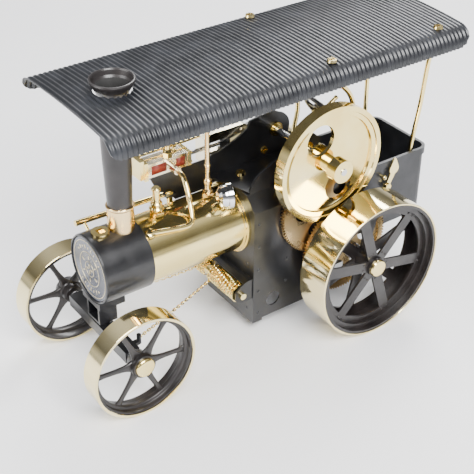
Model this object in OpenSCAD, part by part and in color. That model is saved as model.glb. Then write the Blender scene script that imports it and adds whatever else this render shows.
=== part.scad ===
// Toy steam traction engine with a canopy.
// X points to the front, Y to the engine's left, Z up; Z = 0 is the ground.
// X = 0 is the rear axle. All sizes are in millimetres.

/* [Rear wheels] */
// Radius of the rear wheels
rear_r = 55; // [54:0.5:56]
// Width of the rear wheels
rear_w = 27.4; // [24:0.2:28]
// Outer face of the rear wheels, from the centre plane
rear_face = 80.4; // [80:0.2:84]

/* [Front wheels] */
// Radius of the front wheels
front_r = 39.3; // [39:0.1:39.6]
// Width of the front wheels
front_w = 16; // [13:0.5:16]
// Outer face of the front wheels, from the centre plane
front_face = 58.2; // [58:0.2:60]
// Distance between the axles
wheelbase = 189.5; // [188:0.5:191]

/* [Boiler] */
// Height of the boiler's axis
boiler_z = 90.6; // [90:0.2:91]
// Outer radius of the boiler
boiler_r = 24.5; // [24:0.1:24.6]
// Outer radius of the smokebox
smoke_r = 25.5; // [25.2:0.1:25.8]
// Radius of the chimney's lip
cap_r = 15.1; // [14:0.1:16]

/* [Engine] */
// Crankshaft axis, along X
crank_x = 27.7; // [27.6:0.1:27.8]
// Crankshaft axis, height
crank_z = 139.5; // [139.4:0.1:139.6]
// Half of the piston's stroke
crank_throw = 8; // [6:0.5:8]
// Outer radius of the flywheel
fly_r = 44.3; // [40:0.1:44.6]
// Outer face of the flywheel
fly_face = 50.2; // [50:0.1:50.6]

/* [Gears] */
// Gear module (pitch diameter over teeth)
gear_m = 0.8; // [0.8]
// Teeth on the crank pinion
z_crank = 21; // [21]
// Teeth on the large intermediate wheel
z_mid = 92; // [92]
// Teeth on the intermediate pinion
z_small = 16; // [16]
// Teeth on the rear axle's drive wheel
z_drive = 96; // [96]

/* [Canopy] */
// Height of the canopy's crest
roof_z = 219; // [216:0.5:220]
// Half width of the canopy
roof_y = 58; // [57:0.2:59]
// Front edge of the canopy
roof_x1 = 206; // [202:0.2:208]
// Rear edge of the canopy
roof_x0 = -88; // [-90:1:-84]

/* [Tender] */
// Rear face of the tender
tender_x0 = -86; // [-90:0.5:-84]
// Height of the tender's rim
tender_z = 110; // [106:0.5:112]

/* [Hidden] */
$fn = 64;
cyl_y = -22.2;
cyl_z = 139;
valve_y = -27.6;
valve_z = 134.8;
mid_a = gear_m * (z_small + z_drive) / 2;
mid_b = gear_m * (z_crank + z_mid) / 2;
mid_l = norm([crank_x, crank_z - rear_r]);
mid_p = (mid_a * mid_a - mid_b * mid_b + mid_l * mid_l) / (2 * mid_l);
mid_h = sqrt(mid_a * mid_a - mid_p * mid_p);
mid_u = [crank_x, crank_z - rear_r] / mid_l;
mid_x = mid_p * mid_u[0] + mid_h * mid_u[1];
mid_z = rear_r + mid_p * mid_u[1] - mid_h * mid_u[0];
// tooth phases, so that every pair is in mesh at rest
gear_crank_a = atan2(mid_z - crank_z, mid_x - crank_x);
gear_mid_a = gear_crank_a + 180 + 180 / z_mid;
gear_small_a = atan2(rear_r - mid_z, -mid_x);
gear_drive_a = gear_small_a + 180 + 180 / z_drive;
// the model is centred on its own length
origin_x = (wheelbase + front_r + tender_x0 - 8.6) / 2;
stack_x = 170.4;
drum_x = 90;
drum_z = 40;
col_a = 33;
col_d = 12;
col_u = [-cos(col_a), sin(col_a)];
col_p = [drum_x + col_d * sin(col_a), drum_z + col_d * cos(col_a)];
col_y = -34.2;
post_r = 1.8;
roof_screw_x = [30.5, -66];
roof_screw_y = 46;
roof_r = 12;
roof_t = 2.4;
roof_low = roof_z - 16;
function roof_h(y) = roof_z - 0.0009 * y * y;
post_top = roof_h(roof_screw_y) - 6;
rear_post = [[-71, 26.9, 53.3], [-71, 26.9, 80], [-71, 26.9, 111], [-73.4, 30, 150], [-74, 33, 186],
    [-68, 43, 203], [-66, roof_screw_y, post_top - 4], [-66, roof_screw_y, post_top]];
front_post = [[1.6, 26.9, 63.5], [1.6, 26.9, 90], [1.6, 26.9, 113], [-0.4, 29, 125], [-5, 32, 147], [4, 38.4, 180],
    [24, 44, 201], [30.5, roof_screw_y, post_top - 4], [30.5, roof_screw_y, post_top]];
exhaust_route = [[118.6, -7, 137.2], [118.8, -3, 136.8], [119.4, 1.5, 134.6], [120.2, 6.4, 128.4],
    [121.6, 11.4, 120.4], [123.4, 16, 113.8], [127, 18.8, 111], [134, 18.6, 110.8], [156, 15.6, 113]];
lever_x = -44;
lever_z = 89;

// ---- helpers ----
module along_x(x0, x1, r) { translate([x0, 0, 0]) rotate([0, 90, 0]) cylinder(r = r, h = x1 - x0); }
module along_y(y0, y1, r) { translate([0, y1, 0]) rotate([90, 0, 0]) cylinder(r = r, h = y1 - y0); }
// profile drawn as (x, z), from y0 to y1
module side(y0, y1) { translate([0, y1, 0]) rotate([90, 0, 0]) linear_extrude(y1 - y0) children(); }
// profile drawn as (y, z), from x0 to x1
module cross(x0, x1) { translate([x0, 0, 0]) rotate([90, 0, 90]) linear_extrude(x1 - x0) children(); }
// profile drawn as (radius, y), turned about an axis along Y at (x, z)
module turn_y(x, z) { translate([x, 0, z]) rotate([-90, 0, 0]) rotate_extrude($fn = 96) children(); }
module bar(a, b, r) {
    d = b - a;
    translate(a) rotate([0, acos(d[2] / norm(d)), atan2(d[1], d[0])]) cylinder(r = r, h = norm(d), $fn = 24);
}
// smooth route through the points of p, with n steps from each to the next
function blend4(a, b, c, d, t) = b + 0.5 * t * (c - a + t * (2 * a - 5 * b + 4 * c - d + t * (3 * (b - c) + d - a)));
function route(p, n) = let (m = len(p) - 1)
    concat([for (i = [0 : m - 1], k = [0 : n - 1])
        blend4(p[max(i - 1, 0)], p[i], p[i + 1], p[min(i + 2, m)], k / n)], [p[m]]);
// round bent pipe along the route q; side is a direction that the route never takes
module pipe(q, r, side, sides = 12) {
    m = len(q) - 1;
    rings = [for (i = [0 : m]) let (t = q[min(i + 1, m)] - q[max(i - 1, 0)],
            u = cross(t, side) / norm(cross(t, side)), v = cross(t, u) / norm(t))
        for (k = [0 : sides - 1]) q[i] + r * (cos(k * 360 / sides) * u + sin(k * 360 / sides) * v)];
    walls = [for (i = [0 : m - 1], k = [0 : sides - 1]) let (a = i * sides, b = (k + 1) % sides)
        [a + k, a + sides + k, a + sides + b, a + b]];
    polyhedron(rings, concat([[for (k = [0 : sides - 1]) k]], walls, [[for (k = [sides - 1 : -1 : 0]) m * sides + k]]));
}
function gear_pts(z, m) = let (r = m * z / 2, t = 360 / z)
    [for (i = [0 : z - 1]) for (k = [[-0.27, -1.15], [-0.13, 0.9], [0.13, 0.9], [0.27, -1.15]])
        (r + k[1] * m) * [cos((i + k[0]) * t), sin((i + k[0]) * t)]];
module gear2d(z, m, a) { rotate(a) polygon(gear_pts(z, m)); }
module round_box2d(x0, x1, y0, y1, r) {
    translate([x0 + r, y0]) square([x1 - x0 - 2 * r, y1 - y0]);
    translate([x0, y0 + r]) square([x1 - x0, y1 - y0 - 2 * r]);
    for (x = [x0 + r, x1 - r], y = [y0 + r, y1 - r]) translate([x, y]) circle(r = r, $fn = 48);
}

// ---- boiler and smokebox ----
module boiler() {
    color("gold") translate([0, 0, boiler_z]) difference() {
        along_x(80, 160, boiler_r);
        along_x(79, 161, boiler_r - 1.2);
        translate([142, 0, 0]) cylinder(r = 3, h = 40);
        translate([99.4, 0, 0]) cylinder(r = 2.6, h = 40);
    }
}
module boiler_band() {
    color("gold") translate([0, 0, boiler_z]) difference() {
        union() {
            along_x(80, 82.4, boiler_r + 2.2);
            along_x(82.4, 84, boiler_r + 1.2);
        }
        along_x(79, 85, boiler_r);
    }
}
module boiler_ends() {
    color("gold") for (x = [80, 157]) translate([0, 0, boiler_z]) along_x(x, x + 1.5, boiler_r - 1.2);
}
// what is fixed on the barrel is cut to its curve
module on_barrel() {
    difference() {
        children();
        translate([0, 0, boiler_z]) along_x(70, 160, boiler_r);
        translate([0, 0, boiler_z]) along_x(160, 210, smoke_r);
    }
}
module smokebox() {
    color([0.07, 0.07, 0.08]) difference() {
        translate([0, 0, boiler_z]) rotate([0, 90, 0]) rotate_extrude($fn = 96) difference() {
            polygon([[smoke_r - 1.3, 160], [smoke_r, 160], [smoke_r, 196.4], [smoke_r - 0.4, 197.3],
                [smoke_r - 1.3, 197.7], [smoke_r - 1.7, 197.3], [smoke_r - 1.7, 159]]);
            translate([smoke_r - 1.9, 158]) square([0.7, 2]);
        }
        translate([stack_x, 0, boiler_z]) cylinder(r = 8.05, h = 40);
        translate([186.5, 0, boiler_z]) cylinder(r = 3.6, h = 40);
    }
}
module smokebox_front() {
    color([0.16, 0.17, 0.2]) translate([0, 0, boiler_z]) {
        along_x(194.6, 196.6, smoke_r - 1.7);
        difference() {
            along_x(196.5, 197.3, 21.9);
            along_x(196.7, 198, 20.9);
        }
        difference() {
            along_x(196.5, 197.3, 13.3);
            along_x(196.7, 198, 12.5);
        }
        along_x(196.5, 197.4, 4.2);
    }
}
module chimney() {
    color([0.09, 0.08, 0.08]) translate([stack_x, 0, 0]) rotate_extrude($fn = 96)
        polygon([[8.6, 117.6], [8.6, 134], [9.8, 166], [10.6, 204], [10.6, 216.5], [12, 219.3], [13.6, 222],
            [cap_r - 0.3, 224], [cap_r, 225.2], [cap_r - 0.4, 226.2], [cap_r - 1.2, 226.3], [cap_r - 1.7, 225.4],
            [12.6, 222.4], [10.9, 219.6], [9.7, 216.5], [9.6, 204], [8.8, 166], [7.7, 134], [7.7, 117.6]]);
}
module chimney_collar() {
    color("gold") difference() {
        translate([stack_x, 0, 0]) rotate_extrude($fn = 96)
            polygon([[8.6, 108], [9.7, 108], [9.3, 121], [9.3, 131.6], [9.9, 132.6], [9.9, 133.4], [9.4, 133.9],
                [8.6, 133.9]]);
        translate([0, 0, boiler_z]) along_x(150, 200, smoke_r);
    }
}
module smokebox_plug() {
    color("gold") difference() {
        union() {
            translate([186.5, 0, boiler_z + smoke_r]) cylinder(r = 6.4, h = 1.7);
            translate([186.5, 0, boiler_z + smoke_r - 6]) cylinder(r = 3.5, h = 6.5);
            difference() {
                translate([186.5, 0, boiler_z + 22]) cylinder(r = 6.4, h = 4);
                translate([0, 0, boiler_z]) along_x(170, 200, smoke_r);
            }
        }
        translate([183.9, -2.6, boiler_z + smoke_r - 1]) cube([5.2, 5.2, 4]);
    }
}

// ---- boiler fittings ----
module safety_valve() {
    color("gold") translate([142, 0, 0]) difference() {
        union() {
            translate([0, 0, 115.2]) cylinder(r = 5.6, h = 2.6, $fn = 6);
            translate([0, 0, boiler_z + boiler_r - 3]) cylinder(r = 3, h = 3.6);
            rotate_extrude() polygon([[0, 117.8], [4.4, 117.8], [5.3, 119.4], [5.3, 120.6], [4.2, 121.8], [4.2, 124.4],
                [3.4, 125.4], [0, 125.4]]);
        }
        translate([0, 0, 117]) cylinder(r = 1.45, h = 10);
    }
}
module safety_stem() {
    color("gold") translate([142, 0, 0]) {
        translate([0, 0, 119]) cylinder(r = 1.4, h = 8);
        translate([0, 0, 125.5]) rotate_extrude() polygon([[0, 0], [3.1, 0], [3.1, 1.2], [2.7, 1.6], [2.7, 8.4],
            [3.3, 9], [3.3, 10.2], [2.6, 11], [0, 11]]);
    }
}
module whistle() {
    color([0.83, 0.6, 0.36]) translate([99.4, 0, 0]) {
        translate([0, 0, boiler_z + boiler_r - 3]) cylinder(r = 2.6, h = 3.6);
        translate([0, 0, 115.2]) cylinder(r = 4.6, h = 2.8, $fn = 6);
        rotate_extrude() polygon([[0, 118], [3.6, 118], [3.9, 119.6], [2.4, 121], [2.1, 124.5], [3.1, 125.5],
            [3.1, 128.2], [2.1, 129.4], [1.9, 138], [2.3, 138.6], [2.3, 140], [1.9, 140.6], [1.7, 143], [1.7, 165.5],
            [2.2, 166.2], [2.2, 168.2], [1.4, 169], [0, 169]]);
    }
}
gauge_c = [94.4, 17, 121.6];
gauge_yaw = 163;
module gauge_place() { translate(gauge_c) rotate([0, 0, gauge_yaw]) rotate([0, 90, 0]) children(); }
module gauge_case() {
    color("silver") gauge_place() rotate_extrude()
        polygon([[0, -7], [4.2, -7], [7.4, -5.4], [8.4, -3], [8.4, -1.2], [9.6, -1], [9.6, 2.4], [8.9, 3],
            [8.3, 2.4], [8.3, 0], [0.75, 0], [0.75, -1.4], [0, -1.4]]);
}
module gauge_pipe() {
    color("gold") difference() {
        on_barrel() bar([95.2, 12, 108], [95.2, 16.2, 112.6], 1.9);
        gauge_place() rotate_extrude() polygon([[0, -7.1], [4.3, -7.1], [7.5, -5.5], [8.5, -3.1], [8.5, -1.3],
            [9.7, -1.1], [9.7, 2.5], [9, 3.1], [0, 3.1]]);
    }
}
module gauge_needle() {
    color([0.1, 0.1, 0.1]) gauge_place() {
        translate([0, 0, -1.2]) cylinder(r = 0.7, h = 1.8, $fn = 24);
        translate([0, 0, 0.6]) linear_extrude(0.4) polygon([[-0.5, -2.4], [0.5, -2.4], [0.8, 0], [0.25, 6.6],
            [-0.25, 6.6], [-0.8, 0]]);
    }
}
module handrail() {
    color("gold") on_barrel() {
        bar([108, -24.6, 110.4], [192.5, -24.6, 112.8], 2.1);
        bar([118, -17, 106.4], [118, -24.6, 110.6], 1.2);
        bar([150, -17, 106.4], [150, -24.6, 111.6], 1.2);
        bar([186, -17.6, 107.6], [186, -24.6, 112.4], 1.2);
    }
}

// ---- firebox, frame and tender ----
module firebox_shape(w, z0, top) {
    polygon([[-w, z0], [w, z0], [w, 107], [w - 9.5, top], [-w + 9.5, top], [-w, 107]]);
}
module firebox() {
    color([0.1, 0.1, 0.11]) difference() {
        union() {
            difference() {
                cross(14, 80) firebox_shape(30, 12, 118);
                cross(15.4, 78.5) firebox_shape(28.8, 11, 116.6);
            }
            for (s = [-1, 1]) translate([71.5, s * 29.4 - 0.6, 9.7]) cube([8.5, 1.2, 4]);
            translate([78.5, -30, 9.7]) cube([1.5, 60, 4]);
            // runners of the burner tray
            for (s = [-1, 1]) translate([15.4, s * 10.4 - 2, 18.6]) cube([63.1, 4, 1.2]);
        }
        translate([61.3, 0, 25.7]) along_y(-31, 31, 6);
        translate([10, -11, 9]) cube([8, 22, 30]);
        translate([0, 0, boiler_z]) along_x(75, 81, 8);
        translate([mid_x, 0, mid_z]) along_y(28, 31, 2.2);
        translate([67, -5, 112]) cylinder(r = 1.6, h = 10);
    }
}
module rivet() { cylinder(r1 = 1.3, r2 = 0.9, h = 0.9, $fn = 24); }
module rivet_y(x, z, s) { translate([x, s * 30, z]) rotate([-s * 90, 0, 0]) rivet(); }
module firebox_rivets() {
    color([0.2, 0.2, 0.21]) {
        for (s = [-1, 1], z = [18, 38, 57.5, 77.5, 97]) rivet_y(75.4, z, s);
        for (s = [-1, 1], z = [38, 57.5, 77.5, 97]) rivet_y(50, z, s);
        for (y = [-22, 22], z = [20, 60]) translate([80, y, z]) rotate([0, 90, 0]) rivet();
    }
}
module hornplates() {
    color([0.09, 0.09, 0.1]) {
        difference() {
            union() {
                for (s = [-1, 1]) side(s * 29.4 - 0.6, s * 29.4 + 0.6)
                    polygon([[14, 32], [14, 107], [6, 114], [-8, 110], [-8, 32]]);
                for (s = [-1, 1]) translate([0, 0, rear_r]) along_y(s * 29 - 2.6, s * 29 + 2.6, 7);
            }
            translate([0, 0, rear_r]) along_y(-40, 40, 3.55);
        }
        translate([-8, -28.8, 62]) cube([22, 57.6, 1.5]);
    }
}
module tender() {
    color([0.08, 0.08, 0.09]) difference() {
        union() {
            translate([0, 0, 52]) linear_extrude(tender_z - 52) round_box2d(tender_x0, -8, -30, 30, 7);
            translate([0, 0, tender_z - 5.6]) linear_extrude(5.6) difference() {
                round_box2d(tender_x0 - 1.2, 4, -31.2, 31.2, 8.2);
                translate([-8, -32]) square([20, 64]);
            }
            translate([-16, -30, 52]) cube([8, 60, tender_z - 52]);
        }
        translate([0, 0, 53.3]) linear_extrude(80) difference() {
            round_box2d(tender_x0 + 1.2, 4, -28.8, 28.8, 5.8);
            translate([-9.2, -32]) square([20, 64]);
        }
        translate([-12, -28.8, 63.5]) cube([6, 57.6, 60]);
    }
}
module tender_lever() {
    color("gold") translate([lever_x, 0, lever_z]) difference() {
        side(31.8, 33.4) {
            circle(r = 3.2);
            polygon([[-2, 0], [2, 1], [-2.8, 12], [-7.4, 10.5]]);
            translate([-5.5, 13.6]) circle(r = 4.5);
            polygon([[-9.6, 15.6], [-1.6, 15.8], [-5, 22.6], [-6.6, 22.6]]);
        }
        along_y(30, 35, 1.36);
    }
}
module tow_bar() {
    color("gold") difference() {
        union() {
            translate([tender_x0 - 4.2, -4, 60]) cube([4.2, 8, 6]);
            translate([tender_x0 - 4.6, 0, 60]) cylinder(r = 4, h = 6);
        }
        translate([tender_x0 - 4.6, 0, 55]) cylinder(r = 1.6, h = 16);
    }
}
module burner_tray() {
    color("silver") {
        difference() {
            translate([14.4, -10, 20]) cube([56, 20, 9]);
            translate([15.4, -9, 21]) cube([54, 18, 12]);
        }
        for (x = [26, 42, 58]) translate([x, 0, 20.8]) difference() {
            cylinder(r = 5.5, h = 11);
            translate([0, 0, 1]) cylinder(r = 4.6, h = 14);
        }
        translate([-3, -3, 23]) cube([17.6, 6, 1.2]);
        translate([-6, 0, 23]) difference() {
            cylinder(r = 6, h = 1.2);
            translate([0, 0, -1]) cylinder(r = 3.4, h = 4);
        }
    }
}

// ---- engine bed ----
module far_plate2d() {
    difference() {
        union() {
            polygon([[20, 118], [80, 118], [80, 112.6], [84.6, 112.6], [84.6, 109.6], [116.5, 109.6], [122, 116.5],
                [131, 121], [136.5, 133.4], [91, 133.4], [78, 136.4], [64.6, 141.2], [53.4, 147], [51.3, 152.6],
                [40.4, 154.4], [30.4, 155.4], [24, 152], [19.6, 144], [14.6, 132], [14.6, 118]]);
            translate([crank_x, crank_z]) circle(r = 13);
        }
        translate([crank_x, crank_z]) circle(r = 4.05);
        translate([38.2, 125]) circle(r = 1.6);
    }
}
module engine_bed() {
    color([0.09, 0.09, 0.1]) {
        side(-17.5, -16) far_plate2d();
        // floor of the bed
        difference() {
            translate([0, 0, 118]) linear_extrude(1.5)
                polygon([[14.6, -16], [14.6, 20.5], [77.5, 20.5], [84.5, -4], [88, -16]]);
            translate([67, -5, 110]) cylinder(r = 1.6, h = 20);
        }
        // near flange
        side(19, 20.5) difference() {
            union() {
                polygon([[14.6, 119.4], [77, 119.4], [77, 121], [74, 127.4], [69.4, 131.7], [52.9, 139.2],
                    [40, 146], [16, 146], [14.6, 132]]);
                translate([crank_x, crank_z]) circle(r = 12);
            }
            translate([crank_x, crank_z]) circle(r = 4.05);
        }
        // seat under the cylinder
        translate([104, -28, 132]) cube([33.6, 10.5, 1.4]);
        translate([104, -18.2, 128]) cube([30, 0.7, 4.2]);
        // lug on the post that carries the bed's front end
        difference() {
            translate([119.5, -16, 117.2]) cube([8, 6.6, 1.5]);
            translate([123.5, -12.6, 110]) cylinder(r = 1.5, h = 20);
        }
    }
}
module screw_head(r, h, slot) {
    difference() {
        cylinder(r1 = r, r2 = r * 0.86, h = h, $fn = 40);
        translate([-r - 1, -slot / 2, h * 0.5]) cube([2 * r + 2, slot, h]);
    }
}
module brass_screws() {
    color("gold") {
        roof_screws();
        translate([67, -5, 119.5]) rotate(20) screw_head(4, 1.8, 0.9);
        translate([67, -5, 114]) cylinder(r = 1.5, h = 5.6);
        translate([38.2, -16, 125]) rotate([-90, 0, 0]) screw_head(3.2, 1.3, 0.8);
        translate([38.2, -18.6, 125]) rotate([-90, 0, 0]) cylinder(r = 1.5, h = 2.7);
        on_barrel() translate([123.5, -12.6, 108]) cylinder(r = 2.2, h = 9.2);
        translate([123.5, -12.6, 117]) cylinder(r = 1.5, h = 4);
        translate([123.5, -12.6, 118.7]) cylinder(r = 2.9, h = 2.2, $fn = 6);
        // pivot and stop of the lever on the tender
        translate([lever_x, 0, lever_z]) {
            along_y(30, 34, 1.3);
            along_y(33.8, 34.8, 2.6);
            translate([4, 0, 9]) along_y(30, 33, 1.3);
            translate([4, 33, 9]) sphere(r = 2.1, $fn = 32);
        }
    }
}
module bearing(y0, y1, f0, f1) {
    difference() {
        union() {
            along_y(y0, y1, 4);
            along_y(f0, f1, 5.6);
        }
        along_y(y0 - 1, y1 + 1, 2.55);
    }
}
module shaft_bearings() {
    color("gold") translate([crank_x, 0, crank_z]) {
        bearing(-18.6, -12.4, -16, -14.4);
        bearing(16, 22.6, 20.5, 21.8);
    }
}
module cylinder_block() {
    color([0.8, 0.66, 0.36]) difference() {
        union() {
            translate([105, -28, 133.4]) cube([32.6, 11.7, 11]);
            translate([118.6, 0, 137.2]) along_y(-17, -8.4, 2.9);
            translate([118.6, 0, 137.2]) along_y(-12, -7, 2.3);
        }
        translate([0, cyl_y, cyl_z]) along_x(104, 139, 4.2);
        translate([107.4, -16.9, 135.4]) cube([7.4, 2, 7]);
        translate([122.6, -16.9, 135.4]) cube([12.4, 2, 7]);
        translate([118, cyl_y, 143.7]) cylinder(r = 1.1, h = 6);
        translate([0, valve_y, valve_z]) along_x(104, 108, 0.95);
    }
}
module cylinder_covers() {
    color("gold") {
        translate([137.6, -28.6, 132]) cube([3, 12.4, 13.8]);
        translate([140.6, -28.2, 133.4]) cube([3.2, 11.4, 14.8]);
        difference() {
            translate([102, -29.2, 133.4]) cube([3, 13, 11]);
            translate([0, cyl_y, cyl_z]) along_x(100, 106, 1.55);
            translate([0, valve_y, valve_z]) along_x(100, 106, 0.95);
        }
        for (p = [[-25, 142.6], [-18, 142.6], [-18, 135.2]]) translate([0, p[0], p[1]]) along_x(100.8, 102, 1.1);
    }
}
module oil_cup() {
    color("gold") translate([118, cyl_y, 0]) {
        translate([0, 0, 144.4]) cylinder(r = 3.7, h = 1.8, $fn = 6);
        rotate_extrude() polygon([[0, 146.2], [3.2, 146.2], [3.4, 147.2], [2.2, 148.6], [2.2, 151.4], [3, 152.2],
            [3, 155], [2.4, 155.8], [0, 155.8]]);
        translate([0, 0, 143.7]) cylinder(r = 1.1, h = 1);
    }
}
module slide_bars() {
    color([0.86, 0.8, 0.6]) {
        difference() {
            translate([88, -29.2, 128]) cube([2, 11.7, 21.4]);
            translate([0, cyl_y, cyl_z]) along_x(87, 91, 1.55);
            translate([0, valve_y, valve_z]) along_x(87, 91, 0.95);
        }
        side(-24, -20.4) difference() {
            union() {
                translate([54, 142.6]) square([34, 6.8]);
                translate([54, 146]) circle(r = 3.4);
            }
            translate([56, 146]) circle(r = 1.2);
        }
        translate([50.6, -24, 133]) cube([37.4, 3.6, 2.4]);
        translate([50.6, -20.4, 133]) cube([3.4, 1.8, 13]);
        translate([50.6, -18.7, 136.2]) cube([3.4, 1.2, 6]);
    }
}
module steam_rail() {
    color("gold") {
        translate([0, -26.4, 147.2]) along_x(90, 140.6, 0.9);
        translate([0, -26.4, 147.2]) along_x(109, 112, 1.9);
        translate([110.5, -26.4, 144.4]) cylinder(r = 1.2, h = 2);
    }
}
module exhaust_pipe() {
    color("gold") {
        pipe(route(exhaust_route, 2), 1.9, [0, 0, 1]);
        on_barrel() translate([156.4, 0, boiler_z]) rotate([-34.8, 0, 0]) translate([0, 0, 23]) cylinder(r = 3.4, h = 5.6);
    }
}

// ---- moving engine parts ----
module piston() {
    color("silver") translate([0, cyl_y, cyl_z]) difference() {
        union() {
            along_x(118, 125, 4.15);
            along_x(70, 119, 1.5);
            translate([65.4, -1.5, -3.5]) cube([9.2, 3, 7]);
            translate([70, 0, 0]) along_y(-4.6, 0, 1.2);
            translate([70, 0, 0]) along_y(-4.8, -4.35, 1.8);
        }
        for (x = [119.6, 122.6]) translate([x, 0, 0]) rotate([0, 90, 0]) difference() {
            cylinder(r = 5, h = 0.8);
            cylinder(r = 3.8, h = 0.8);
        }
    }
}
module connecting_rod() {
    color([0.5, 0.5, 0.5]) difference() {
        side(-26.4, -24.2) {
            translate([70, cyl_z]) circle(r = 2.7);
            translate([crank_x, crank_z + crank_throw]) circle(r = 3.6);
            polygon([[70, cyl_z + 1.7], [crank_x + 1, crank_z + crank_throw + 2.4],
                [crank_x - 0.6, crank_z + crank_throw - 2.4], [69.4, cyl_z - 1.7]]);
        }
        translate([70, 0, cyl_z]) along_y(-28, -22, 1.25);
        translate([crank_x, 0, crank_z + crank_throw]) along_y(-28, -22, 1.7);
    }
}
module valve_rod() {
    color("gold") {
        translate([0, valve_y, valve_z]) along_x(70.5, 104.6, 0.85);
        translate([70.5, 0, valve_z]) along_y(-29.9, -26.8, 1.3);
        side(-29.8, -28.2) difference() {
            union() {
                polygon([[70.5, valve_z - 1], [71.4, valve_z], [65.6, 141.2], [48, 143.4], [41, 142.6], [41, 140.8],
                    [48, 141.6], [64.4, 139.6], [69.6, valve_z]]);
                translate([41, 141.6]) circle(r = 2.4);
            }
            translate([41, 141.6]) circle(r = 1.1);
        }
    }
}
module crankshaft() {
    color("silver") translate([crank_x, 0, crank_z]) {
        along_y(-19, 62.6, 2.5);
        difference() {
            along_y(-22.2, -19, 11);
            for (s = [-1, 1]) translate([s * 6, 0, -5.4]) along_y(-23, -18, 2);
        }
        translate([0, 0, crank_throw]) along_y(-23.9, -22, 1.6);
    }
}
module crank_pinion() {
    color("gold") translate([crank_x, 0, crank_z]) difference() {
        union() {
            side(31.5, 34.5) gear2d(z_crank, gear_m, gear_crank_a);
            along_y(30, 40, 4.6);
        }
        along_y(29, 41, 2.5);
    }
}
module flywheel() {
    color("gold") difference() {
        turn_y(crank_x, crank_z) polygon([[2.5, fly_face - 6.6], [fly_r - 6.4, fly_face - 6.6],
            [fly_r - 5.4, fly_face - 9], [fly_r, fly_face - 9], [fly_r, fly_face], [fly_r - 3.6, fly_face],
            [fly_r - 4, fly_face - 1], [fly_r - 7, fly_face - 1.6], [fly_r - 7.6, fly_face - 3.4],
            [2.5, fly_face - 3.4]]);
        for (a = [66, 246]) translate([crank_x + 22.4 * cos(a), 0, crank_z + 22.4 * sin(a)]) along_y(30, 60, 11.8);
    }
}
module flywheel_boss() {
    color("gold") translate([crank_x, 0, crank_z]) difference() {
        union() {
            along_y(fly_face - 3.4, 53, 6);
            along_y(53, 62, 8.4);
        }
        along_y(40, 63, 2.5);
        translate([0, 57.5, 3]) cylinder(r = 1.3, h = 8);
    }
}
module gear_stud() {
    color("silver") translate([mid_x, 0, mid_z]) {
        along_y(28.8, 40, 2.2);
        along_y(30, 31.1, 5);
        along_y(40, 40.8, 3.6);
    }
}
module gear_wheel() {
    color("gold") translate([mid_x, 0, mid_z]) difference() {
        union() {
            side(31.5, 34.5) difference() {
                gear2d(z_mid, gear_m, gear_mid_a);
                circle(r = 31);
            }
            along_y(32.4, 33.6, 31.2);
            along_y(31.4, 35.2, 5.4);
            side(35.2, 38.8) gear2d(z_small, gear_m, gear_small_a);
        }
        for (a = [0 : 72 : 359]) rotate([0, a, 0]) translate([19, 0, 0]) along_y(30, 40, 6.4);
        along_y(30, 42, 2.26);
    }
}

// ---- rear axle ----
module rear_axle() {
    color("silver") translate([0, 0, rear_r]) {
        along_y(-rear_face + 5.6, rear_face - 5.6, 3.5);
        for (s = [-1, 1]) difference() {
            along_y(s * 41.8 - 9.8, s * 41.8 + 9.8, 6);
            along_y(-60, 60, 3.5);
        }
    }
}
module drive_wheel() {
    color("gold") translate([0, 0, rear_r]) difference() {
        union() {
            side(35.5, 38.5) difference() {
                gear2d(z_drive, gear_m, gear_drive_a);
                circle(r = 33);
            }
            along_y(36.4, 37.6, 33.4);
        }
        along_y(30, 50, 6);
        for (a = [0 : 60 : 359]) rotate([0, a + 12, 0]) translate([20.5, 0, 0]) along_y(30, 50, 7.2);
    }
}
module rear_rims() {
    color("gold") for (s = [0, 1]) mirror([0, s, 0]) turn_y(0, rear_r)
        polygon([[rear_r - 1.4, rear_face - rear_w], [rear_r - 0.2, rear_face - rear_w],
            [rear_r, rear_face - rear_w + 0.2], [rear_r, rear_face - 0.2], [rear_r - 0.2, rear_face],
            [rear_r - 1.2, rear_face], [rear_r - 1.4, rear_face - 0.2]]);
}
module spoke_disc(y0, y1, ri, ro, rh, w, a0) {
    difference() {
        along_y(y0, y1, ro);
        difference() {
            along_y(y0 - 1, y1 + 1, ri);
            along_y(y0 - 2, y1 + 2, rh);
            for (a = [0 : 60 : 359]) rotate([0, -a - a0, 0]) translate([0, y0 - 2, -w / 2]) cube([ro, y1 - y0 + 4, w]);
        }
    }
}
module rear_spokes_one() {
    translate([0, 0, rear_r]) difference() {
        union() {
            spoke_disc(rear_face - 9.6, rear_face - 7.8, 43.5, rear_r - 2, 9, 8.6, 12.6);
            spoke_disc(rear_face - 23.4, rear_face - 21.6, 43.5, rear_r - 2, 9, 8.6, 42.6);
            along_y(rear_face - 25, rear_face - 5.4, 7.6);
            difference() {
                along_y(rear_face - rear_w + 0.4, rear_face - 0.6, rear_r - 1.4);
                along_y(rear_face - rear_w, rear_face, rear_r - 3.4);
            }
            difference() {
                along_y(rear_face - 8, rear_face - 4.4, rear_r - 2);
                along_y(rear_face - 9, rear_face, rear_r - 7.2);
            }
        }
        along_y(rear_face - 30, rear_face, 3.5);
    }
}
module rear_spokes() { color([0.14, 0.13, 0.13]) for (s = [0, 1]) mirror([0, s, 0]) rear_spokes_one(); }
module rear_caps() {
    color("gold") for (s = [0, 1]) mirror([0, s, 0]) turn_y(0, rear_r)
        polygon([[0, rear_face - 5.4], [6.8, rear_face - 5.4], [6.8, rear_face - 4.2], [6.2, rear_face - 3.2],
            [3, rear_face - 2.5], [0, rear_face - 2.4]]);
}

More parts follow.
